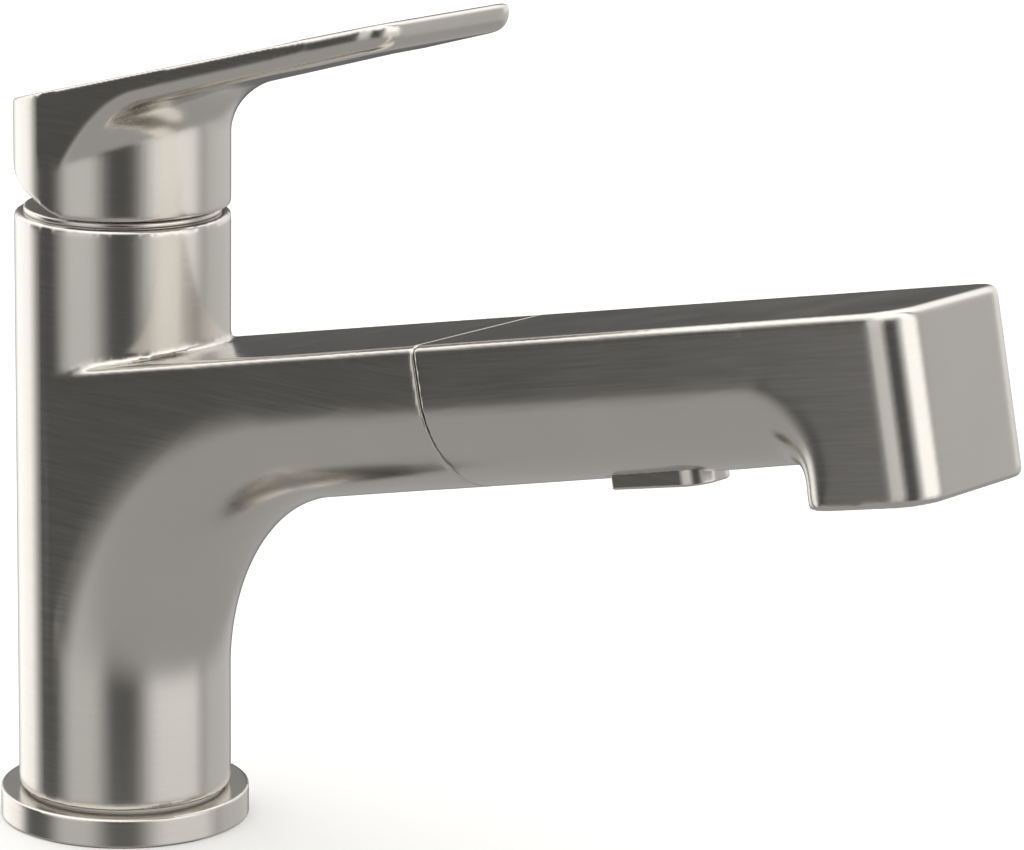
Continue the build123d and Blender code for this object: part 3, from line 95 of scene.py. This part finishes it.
def new_material(name):
    material = bpy.data.materials.new(name)
    material.use_nodes = True
    tree = material.node_tree
    return material, tree, tree.nodes["Principled BSDF"]


def object_point(tree):
    return tree.nodes.new("ShaderNodeTexCoord").outputs["Object"]


def mapped(tree, point, scale, lean):
    """The point turned by the lean about Y, if there is one, and then scaled along each axis."""
    if lean:
        turn = tree.nodes.new("ShaderNodeMapping")
        turn.inputs["Rotation"].default_value = (0.0, lean, 0.0)
        tree.links.new(point, turn.inputs["Vector"])
        point = turn.outputs["Vector"]
    mapping = tree.nodes.new("ShaderNodeMapping")
    mapping.inputs["Scale"].default_value = scale
    tree.links.new(point, mapping.inputs["Vector"])
    return mapping.outputs["Vector"]


def noise(tree, point, scale):
    texture = tree.nodes.new("ShaderNodeTexNoise")
    texture.inputs["Scale"].default_value = scale
    texture.inputs["Detail"].default_value = NOISE_DETAIL
    tree.links.new(point, texture.inputs["Vector"])
    return texture.outputs["Fac"]


def spread(tree, value, low, high):
    """The noise's usual range stretched from low to high."""
    ranged = tree.nodes.new("ShaderNodeMapRange")
    ranged.inputs["From Min"].default_value = NOISE_LOW
    ranged.inputs["From Max"].default_value = NOISE_HIGH
    ranged.inputs["To Min"].default_value = low
    ranged.inputs["To Max"].default_value = high
    tree.links.new(value, ranged.inputs["Value"])
    return ranged.outputs["Result"]


def bump(tree, shader, height, strength, distance, edge_radius=0.0):
    """Fine relief; with an edge radius, the shading also rounds the edges by that much."""
    node = tree.nodes.new("ShaderNodeBump")
    node.inputs["Strength"].default_value = strength
    node.inputs["Distance"].default_value = distance
    tree.links.new(height, node.inputs["Height"])
    if edge_radius:
        rounded = tree.nodes.new("ShaderNodeBevel")
        rounded.samples = EDGE_SAMPLES
        rounded.inputs["Radius"].default_value = edge_radius
        tree.links.new(rounded.outputs["Normal"], node.inputs["Normal"])
    tree.links.new(node.outputs["Normal"], shader.inputs["Normal"])


def two_tone(tree, shader, value, dark, light):
    mix = tree.nodes.new("ShaderNodeMix")
    mix.data_type = "RGBA"
    mix.inputs["A"].default_value = (*dark, 1.0)
    mix.inputs["B"].default_value = (*light, 1.0)
    tree.links.new(value, mix.inputs["Factor"])
    tree.links.new(mix.outputs["Result"], shader.inputs["Base Color"])


# Materials: stroke, cloud and pebble sizes are given as how many fit in a metre
LEVEL_STROKES = (60.0, 60.0, 2400.0)
PLATED_GRAIN = (700.0, 700.0, 700.0)
STROKE_STRENGTH = 0.35
STROKE_DEPTH = 4e-7
METAL_CLOUDS = 40.0
PEBBLES = 1500.0
PEBBLE_STRENGTH = 0.25
PEBBLE_DEPTH = 1e-5
MOULDED_CLOUDS = 60.0
TURNED_EDGE = 2e-4
BUTTON_EDGE = 4e-4
CASTING_EDGE = 6e-4


def metal(name, dark, light, rough, brushing=LEVEL_STROKES, lean=0.0, edge_radius=TURNED_EDGE):
    """Metal with fine brushing: how many strokes a metre along X, Y and Z, leaning that far about Y."""
    material, tree, shader = new_material(name)
    point = object_point(tree)
    strokes = noise(tree, mapped(tree, point, brushing, lean), 1.0)
    two_tone(tree, shader, noise(tree, point, METAL_CLOUDS), dark, light)
    shader.inputs["Metallic"].default_value = 1.0
    tree.links.new(spread(tree, strokes, *rough), shader.inputs["Roughness"])
    bump(tree, shader, strokes, STROKE_STRENGTH, STROKE_DEPTH, edge_radius)
    return material


def moulded(name, dark, light, rough):
    """Moulded plastic, rubber or fired ceramic: even colour with a fine skin."""
    material, tree, shader = new_material(name)
    point = object_point(tree)
    skin = noise(tree, point, PEBBLES)
    two_tone(tree, shader, noise(tree, point, MOULDED_CLOUDS), dark, light)
    tree.links.new(spread(tree, skin, *rough), shader.inputs["Roughness"])
    bump(tree, shader, skin, PEBBLE_STRENGTH, PEBBLE_DEPTH)
    return material


ARM_RISE = math.radians(11.78)
NICKEL = ((0.60, 0.577, 0.54), (0.64, 0.617, 0.578), (0.18, 0.23))

# Darker and lighter colour, then the smoothest and the roughest spots
MATERIALS = {
    "nickel": metal("brushed_nickel", *NICKEL, edge_radius=CASTING_EDGE),
    "brass": metal("turned_brass", (0.70, 0.50, 0.22), (0.76, 0.56, 0.27), (0.22, 0.34)),
    "zinc": metal("plated_zinc", (0.55, 0.56, 0.58), (0.62, 0.63, 0.65), (0.30, 0.42), PLATED_GRAIN),
    "steel": metal("stainless_steel", (0.56, 0.56, 0.56), (0.64, 0.64, 0.63), (0.22, 0.34)),
    "rubber_black": moulded("black_rubber", (0.012, 0.012, 0.013), (0.022, 0.022, 0.023), (0.55, 0.70)),
    "nozzle_rubber": moulded("nozzle_silicone", (0.10, 0.10, 0.105), (0.14, 0.14, 0.145), (0.45, 0.6)),
    "white_plastic": moulded("white_acetal", (0.78, 0.77, 0.74), (0.84, 0.83, 0.80), (0.35, 0.45)),
    "dark_plastic": moulded("dark_nylon", (0.035, 0.035, 0.038), (0.05, 0.05, 0.053), (0.38, 0.5)),
    "trim_grey": moulded("grey_plastic", (0.30, 0.295, 0.29), (0.34, 0.335, 0.33), (0.30, 0.42)),
    "plated_plastic": metal("plated_button", *NICKEL, edge_radius=BUTTON_EDGE),
    "ceramic_white": moulded("alumina", (0.80, 0.79, 0.76), (0.86, 0.85, 0.83), (0.12, 0.2)),
}
HEAD_NICKEL = metal("brushed_nickel_along_arm", *NICKEL, lean=ARM_RISE, edge_radius=0.0)
SOFT_NICKEL = metal("brushed_nickel_soft", *NICKEL, edge_radius=0.0)


def paint(mesh, material):
    mesh.materials.clear()
    mesh.materials.append(material)


for part in frame["record"]["subparts"]:
    paint(NODES[part["node"]].data, MATERIALS[part["material_slot"]])


# Polished skins: the visible castings with their creases blended and their edges eased.
# A taper is how much nearer to the middle a flat side comes for each metre along.
ARM_TOP_Z = 0.0997
SEAM = 0.09874
SEAM_GAP = 0.0003
HEAD_HALF_WIDTH = 0.0225
HEAD_TAPER = 0.01857
LEVER_HALF_WIDTH = 0.022345
LEVER_TAPER = 0.0105
SHARE_OF_FACES_KEPT = 0.45
SMOOTHING_FACTOR = 0.5
BLEND_LEVELS = 4

# Bands where a zone fades in or out: along the arm, under its top face, or along X or Z
HEAD_CORNER_IN = (0.160, 0.172)
HEAD_CORNER_OUT = (0.188, 0.194)
HEAD_CORNER_UPPER = (0.012, 0.018)
HEAD_CORNER_LOWER = (0.030, 0.0335)
HEAD_TRIM_FROM = 0.150
BEND_UNDER_TOP = (0.006, 0.010)
BEND_OUT = (0.080, 0.090)
BEND_X = (-0.002, 0.012)
BEND_Z = (0.022, 0.034)
LEVER_BLADE_X = (0.058, 0.070)
LEVER_SIDE_Z = (0.141, 0.147)

# The eased edge at the seam: as wide as it comes, as wide as it becomes, and where the squeeze ends
EDGE_BEFORE = 0.0012
EDGE_AFTER = 0.0004
EDGE_REACH = 0.006
PAST_EVERYTHING = 1.0


def arm_place(points):
    """How far along the arm and how deep under its top face each point lies."""
    along = points[:, 0] * math.cos(ARM_RISE) + (points[:, 2] - ARM_TOP_Z) * math.sin(ARM_RISE)
    depth = points[:, 0] * math.sin(ARM_RISE) - (points[:, 2] - ARM_TOP_Z) * math.cos(ARM_RISE)
    return along, depth


def ramp(values, low, high):
    part = np.clip((values - low) / (high - low), 0.0, 1.0)
    return part * part * (3.0 - 2.0 * part)


def apply_modifiers(piece):
    graph = bpy.context.evaluated_depsgraph_get()
    mesh = bpy.data.meshes.new_from_object(piece.evaluated_get(graph))
    piece.modifiers.clear()
    old = piece.data
    piece.data = mesh
    bpy.data.meshes.remove(old)


def mesh_points(mesh):
    points = np.empty(len(mesh.vertices) * 3)
    mesh.vertices.foreach_get("co", points)
    return points.reshape(-1, 3)


def move_points(mesh, points):
    mesh.vertices.foreach_set("co", points.ravel())


def smoothing(piece, name, rounds):
    modifier = piece.modifiers.new(name, "SMOOTH")
    modifier.factor = SMOOTHING_FACTOR
    modifier.iterations = rounds
    return modifier


def polished(
    node, body, material, grid, passes, blend_passes, blend_weight, trim=None, settle=None, swell=0.0
):
    """A skin over a CAD node: an even mesh, smoothed a little, and more where blend_weight asks for it.

    trim moves its points before the smoothing and settle after it; swell puffs out the blended zone.
    """
    piece = bpy.data.objects.new(node + "_skin", NODES[node].data.copy())
    bpy.context.scene.collection.objects.link(piece)
    even = piece.modifiers.new("even", "REMESH")
    even.mode = "VOXEL"
    even.voxel_size = grid
    even.use_smooth_shade = True
    apply_modifiers(piece)
    points = mesh_points(piece.data)
    if trim:
        points = trim(points)
        move_points(piece.data, points)
    levels = np.round(blend_weight(points) * BLEND_LEVELS)
    zone = piece.vertex_groups.new(name="blend")
    for level in range(1, BLEND_LEVELS + 1):
        chosen = np.nonzero(levels == level)[0].tolist()
        if chosen:
            zone.add(chosen, level / BLEND_LEVELS, "REPLACE")
    smoothing(piece, "blend", blend_passes).vertex_group = zone.name
    smoothing(piece, "ease", passes)
    if swell:
        grow = piece.modifiers.new("grow", "DISPLACE")
        grow.mid_level = 0.0
        grow.strength = swell
        grow.vertex_group = zone.name
    lighter = piece.modifiers.new("lighter", "DECIMATE")
    lighter.ratio = SHARE_OF_FACES_KEPT
    apply_modifiers(piece)
    if settle:
        move_points(piece.data, settle(mesh_points(piece.data)))
    paint(piece.data, material)
    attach(piece, body)
    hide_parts(node)


def head_blend(points):
    """The inner corner where the head drops to its outlet."""
    along, depth = arm_place(points)
    rear = ramp(along, *HEAD_CORNER_IN) * (1 - ramp(along, *HEAD_CORNER_OUT))
    return rear * ramp(depth, *HEAD_CORNER_UPPER) * (1 - ramp(depth, *HEAD_CORNER_LOWER))


def head_trim(points):
    """The sides of the spray head lie in one tapering plane each, down to the rounded rear corner."""
    along = arm_place(points)[0]
    half_width = HEAD_HALF_WIDTH - HEAD_TAPER * along
    inside = np.clip(points[:, 1], -half_width, half_width)
    points[:, 1] = np.where(along > HEAD_TRIM_FROM, inside, points[:, 1])
    return points


def crisp_seam(points, edge, inward):
    """The eased edge at the seam, squeezed along the arm; inward is 1 or -1, away from the seam."""
    along = arm_place(points)[0]
    far_out = edge - PAST_EVERYTHING * inward
    kept = [edge + EDGE_REACH * inward, edge + PAST_EVERYTHING * inward]
    before = [far_out, edge, edge + EDGE_BEFORE * inward, *kept]
    after = [far_out, edge, edge + EDGE_AFTER * inward, *kept]
    shift = np.interp(along, sorted(before), sorted(after)) - along
    points[:, 0] += shift * math.cos(ARM_RISE)
    points[:, 2] += shift * math.sin(ARM_RISE)
    return points


def head_settle(points):
    return crisp_seam(points, SEAM + SEAM_GAP / 2, 1)


def casting_settle(points):
    return crisp_seam(points, SEAM - SEAM_GAP / 2, -1)


def casting_blend(points):
    """The bend between the body and the arm."""
    along, depth = arm_place(points)
    arm_part = ramp(depth, *BEND_UNDER_TOP) * (1 - ramp(along, *BEND_OUT))
    return arm_part * ramp(points[:, 0], *BEND_X) * ramp(points[:, 2], *BEND_Z)


def lever_blend(points):
    """The lever's blade, beyond its root."""
    return ramp(points[:, 0], *LEVER_BLADE_X)


def lever_trim(points):
    """The barrel meets the lever's flat side in that side's plane, without standing proud of it."""
    half_width = LEVER_HALF_WIDTH - LEVER_TAPER * points[:, 0]
    over = np.sign(points[:, 1]) * np.maximum(np.abs(points[:, 1]) - half_width, 0.0)
    points[:, 1] -= over * ramp(points[:, 2], *LEVER_SIDE_Z)
    return points


polished(
    "head_shell", "spray_head", HEAD_NICKEL,
    grid=6e-4, passes=4, blend_passes=80, blend_weight=head_blend, trim=head_trim, settle=head_settle,
)
polished(
    "body_casting", "spout", SOFT_NICKEL,
    grid=7e-4, passes=4, blend_passes=55, blend_weight=casting_blend, settle=casting_settle,
)
polished(
    "lever_handle", "lever", SOFT_NICKEL,
    grid=4e-4, passes=12, blend_passes=40, blend_weight=lever_blend, trim=lever_trim, swell=2.5e-4,
)


# Pale deck under the faucet
FLOOR_HALF = 6.0
FLOOR_CLOUDS = 4.0
FLOOR_DARK = (0.86, 0.86, 0.855)
FLOOR_LIGHT = (0.88, 0.88, 0.875)
FLOOR_ROUGHNESS = 0.8


def make_floor():
    mesh = bpy.data.meshes.new("deck")
    corners = [(x * FLOOR_HALF, y * FLOOR_HALF, 0) for x, y in ((-1, -1), (1, -1), (1, 1), (-1, 1))]
    mesh.from_pydata(corners, [], [(0, 1, 2, 3)])
    floor = bpy.data.objects.new("deck", mesh)
    bpy.context.scene.collection.objects.link(floor)
    material, tree, shader = new_material("pale_deck")
    two_tone(tree, shader, noise(tree, object_point(tree), FLOOR_CLOUDS), FLOOR_DARK, FLOOR_LIGHT)
    shader.inputs["Roughness"].default_value = FLOOR_ROUGHNESS
    mesh.materials.append(material)
    floor.visible_glossy = False


make_floor()


# Studio light: tall softboxes round the faucet, one large one overhead and a grey bounce from below.
# Headings are degrees round the faucet from the camera's place, towards the camera's right, and
# heights are degrees above the horizon. A band gives where the light is still dark, where it is full
# from and to, and where it is dark again.
SOFTBOXES = {
    # heading band, then brightness low down and high up
    "back_left": (-172.0, -144.0, -115.0, -95.0, 1.45, 1.45),
    "front_left": (-76.5, -53.0, -32.0, -6.0, 0.64, 0.83),
    "front_right": (10.0, 44.0, 82.0, 102.0, 0.93, 1.00),
    "corner": (30.0, 44.0, 74.0, 92.0, 0.0, 0.55),
    "right": (80.0, 112.0, 158.0, 176.0, 0.60, 0.60),
    "far_edge": (110.0, 128.0, 162.0, 178.0, 0.0, 0.45),
}
SOFTBOX_LOW = -12.0
SOFTBOX_HIGH = -2.0
ROOM_BRIGHTNESS = 0.09
OVERHEAD_BRIGHTNESS = 1.8
OVERHEAD_FROM = 8.0
OVERHEAD_FULL = 58.0
OVERHEAD_GAP = (66.0, 78.0, 92.0, 110.0)
OVERHEAD_GAP_DEPTH = 0.75
BOUNCE_BRIGHTNESS = 0.46
BOUNCE_FROM = -16.5
BOUNCE_FULL = -30.0
LIGHT_TINT = (1.0, 0.99, 0.975, 1.0)
BACKDROP_WHITE = (1.0, 1.0, 1.0, 1.0)


class WorldNodes:
    """Small helper that adds math nodes to the world's shader."""

    def __init__(self, tree):
        self.tree = tree

    def put(self, socket, value):
        if isinstance(value, (int, float)):
            socket.default_value = value
        else:
            self.tree.links.new(value, socket)

    def math(self, operation, *values):
        node = self.tree.nodes.new("ShaderNodeMath")
        node.operation = operation
        for socket, value in zip(node.inputs, values):
            self.put(socket, value)
        return node.outputs[0]

    def smooth(self, value, low, high, start=0.0, end=1.0):
        node = self.tree.nodes.new("ShaderNodeMapRange")
        node.interpolation_type = "SMOOTHSTEP"
        self.put(node.inputs["Value"], value)
        node.inputs["From Min"].default_value = low
        node.inputs["From Max"].default_value = high
        node.inputs["To Min"].default_value = start
        node.inputs["To Max"].default_value = end
        return node.outputs["Result"]

    def band(self, value, dark_before, full_from, full_to, dark_after):
        """One where the band is full, and fading to nothing on both sides of it."""
        starts = self.smooth(value, dark_before, full_from)
        ends = self.smooth(value, full_to, dark_after, 1.0, 0.0)
        return self.math("MULTIPLY", starts, ends)


def make_studio():
    world = bpy.data.worlds.new("studio")
    bpy.context.scene.world = world
    world.use_nodes = True
    tree = world.node_tree
    nodes = WorldNodes(tree)
    turn = tree.nodes.new("ShaderNodeMapping")
    turn.vector_type = "VECTOR"
    turn.inputs["Rotation"].default_value = (0.0, 0.0, math.pi / 2 - CAMERA_AZIMUTH)
    direction = tree.nodes.new("ShaderNodeTexCoord").outputs["Generated"]
    tree.links.new(direction, turn.inputs["Vector"])
    split = tree.nodes.new("ShaderNodeSeparateXYZ")
    tree.links.new(turn.outputs["Vector"], split.inputs["Vector"])
    heading = nodes.math("DEGREES", nodes.math("ARCTAN2", split.outputs["Y"], split.outputs["X"]))
    height = nodes.math("DEGREES", nodes.math("ARCSINE", split.outputs["Z"]))
    ring = ROOM_BRIGHTNESS
    rise = nodes.smooth(height, SOFTBOX_LOW, SOFTBOX_HIGH)
    for *heading_band, low, high in SOFTBOXES.values():
        brightness = nodes.math("MULTIPLY_ADD", rise, high - low, low)
        box = nodes.math("MULTIPLY", nodes.band(heading, *heading_band), brightness)
        ring = nodes.math("ADD", ring, box)
    above = nodes.smooth(height, OVERHEAD_FROM, OVERHEAD_FULL)
    below = nodes.smooth(height, BOUNCE_FULL, BOUNCE_FROM, 1.0, 0.0)
    middle = nodes.math("SUBTRACT", nodes.math("SUBTRACT", 1.0, above), below)
    light = nodes.math("MULTIPLY", ring, middle)
    gap = nodes.band(heading, *OVERHEAD_GAP)
    deepest = -OVERHEAD_GAP_DEPTH * OVERHEAD_BRIGHTNESS
    overhead = nodes.math("MULTIPLY_ADD", gap, deepest, OVERHEAD_BRIGHTNESS)
    light = nodes.math("ADD", light, nodes.math("MULTIPLY", above, overhead))
    light = nodes.math("ADD", light, nodes.math("MULTIPLY", below, BOUNCE_BRIGHTNESS))
    studio = tree.nodes["Background"]
    tree.links.new(light, studio.inputs["Strength"])
    studio.inputs["Color"].default_value = LIGHT_TINT
    backdrop = tree.nodes.new("ShaderNodeBackground")
    backdrop.inputs["Color"].default_value = BACKDROP_WHITE
    seen = tree.nodes.new("ShaderNodeLightPath")
    either = tree.nodes.new("ShaderNodeMixShader")
    tree.links.new(seen.outputs["Is Camera Ray"], either.inputs["Fac"])
    tree.links.new(studio.outputs["Background"], either.inputs[1])
    tree.links.new(backdrop.outputs["Background"], either.inputs[2])
    tree.links.new(either.outputs["Shader"], tree.nodes["World Output"].inputs["Surface"])


make_studio()
bpy.context.scene.view_settings.view_transform = "Standard"
